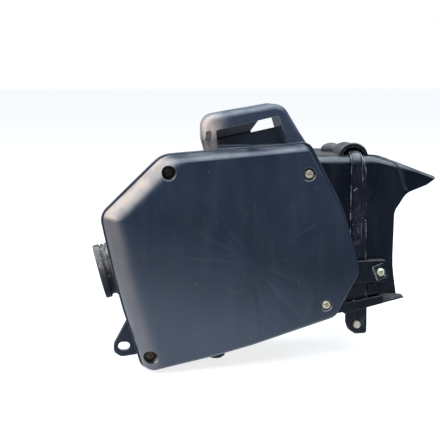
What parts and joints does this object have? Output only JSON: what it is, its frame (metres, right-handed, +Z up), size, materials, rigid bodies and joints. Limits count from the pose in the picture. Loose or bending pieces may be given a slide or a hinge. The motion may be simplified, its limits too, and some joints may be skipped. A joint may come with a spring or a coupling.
{
  "type": "air filter housing",
  "caption": "Moulded air filter housing with screwed cover, loop-shaped intake snorkel, rubber connecting tube, pleated element, rear mudguard and pressed-steel stay.",
  "frame": {"origin": "centre of the whole assembly's bounding box", "axes": "as fitted to the vehicle: +X towards the rear wheel, +Z up, the service cover faces -Y (the vehicle's left side)"},
  "size_m": [0.36, 0.1746, 0.2644],
  "materials": {
    "cover_plastic": "weathered satin moulding",
    "case_plastic": "weathered satin moulding",
    "snorkel_plastic": "dusty satin moulding",
    "guard_plastic": "satin moulding",
    "element_plastic": "matt",
    "tube_rubber": "dusty matt",
    "plug_rubber": "matt",
    "gasket_foam": "foam",
    "filter_paper": "pleated paper",
    "painted_steel": "black paint, scuffed",
    "screen_steel": "galvanised",
    "zinc_screw": "dull zinc plate",
    "yellow_zinc": "yellow zinc plate",
    "brass_nut": "plain"
  },
  "bodies": {
    "case": {"cover_gasket": "gasket_foam", "cover_nut_1": "brass_nut", "cover_nut_2": "brass_nut", "cover_nut_3": "brass_nut", "cover_nut_4": "brass_nut", "case_shell": "case_plastic", "back_cover": "case_plastic", "back_screw_1": "zinc_screw", "back_screw_2": "zinc_screw", "back_screw_3": "zinc_screw", "back_screw_4": "zinc_screw", "back_screw_5": "zinc_screw", "back_screw_6": "zinc_screw", "back_screw_7": "zinc_screw", "back_screw_8": "zinc_screw", "connecting_tube": "tube_rubber", "tube_insert_ring": "screen_steel", "intake_snorkel": "snorkel_plastic", "snorkel_screw_1": "zinc_screw", "snorkel_screw_2": "zinc_screw", "mudguard": "guard_plastic", "guard_case_screw_1": "zinc_screw", "guard_case_screw_2": "zinc_screw", "guard_case_screw_3": "zinc_screw", "top_plug": "plug_rubber", "guard_stay": "painted_steel", "stay_bolt": "zinc_screw", "stay_weld_nut": "painted_steel", "guard_clip_nut": "painted_steel", "guard_screw": "yellow_zinc"},
    "cover": {"service_cover": "cover_plastic"},
    "cover_screw_1": {"cover_screw_1": "zinc_screw"},
    "cover_screw_2": {"cover_screw_2": "zinc_screw"},
    "cover_screw_3": {"cover_screw_3": "zinc_screw"},
    "cover_screw_4": {"cover_screw_4": "zinc_screw"},
    "element": {"element_frame": "element_plastic", "element_media": "filter_paper", "element_screen": "screen_steel", "element_seal": "gasket_foam"},
    "drain_plug": {"drain_plug": "plug_rubber"}
  },
  "joints": [
    {"name": "cover_pull", "type": "slide", "parent": "case", "child": "cover", "axis": [0, -1, 0], "range_m": [0, 0.16]},
    {"name": "element_pull", "type": "slide", "parent": "case", "child": "element", "axis": [0, -1, 0], "range_m": [0, 0.08]},
    {"name": "cover_screw_1_turn", "type": "hinge", "parent": "cover", "child": "cover_screw_1", "pos_m": [-0.1054, -0.06753, 0.0675], "axis": [0, -1, 0], "continuous": true},
    {"name": "cover_screw_2_turn", "type": "hinge", "parent": "cover", "child": "cover_screw_2", "pos_m": [0.0356, -0.06753, 0.0635], "axis": [0, -1, 0], "continuous": true},
    {"name": "cover_screw_3_turn", "type": "hinge", "parent": "cover", "child": "cover_screw_3", "pos_m": [-0.1244, -0.06753, -0.1155], "axis": [0, -1, 0], "continuous": true},
    {"name": "cover_screw_4_turn", "type": "hinge", "parent": "cover", "child": "cover_screw_4", "pos_m": [0.0551, -0.06753, -0.07], "axis": [0, -1, 0], "continuous": true},
    {"name": "drain_plug_pull", "type": "slide", "parent": "case", "child": "drain_plug", "axis": [0, 0, -1], "range_m": [0, 0.02]}
  ],
  "couplings": [
    {"joint": "element_pull", "follows": "cover_pull", "ratio": 0.5}
  ]
}
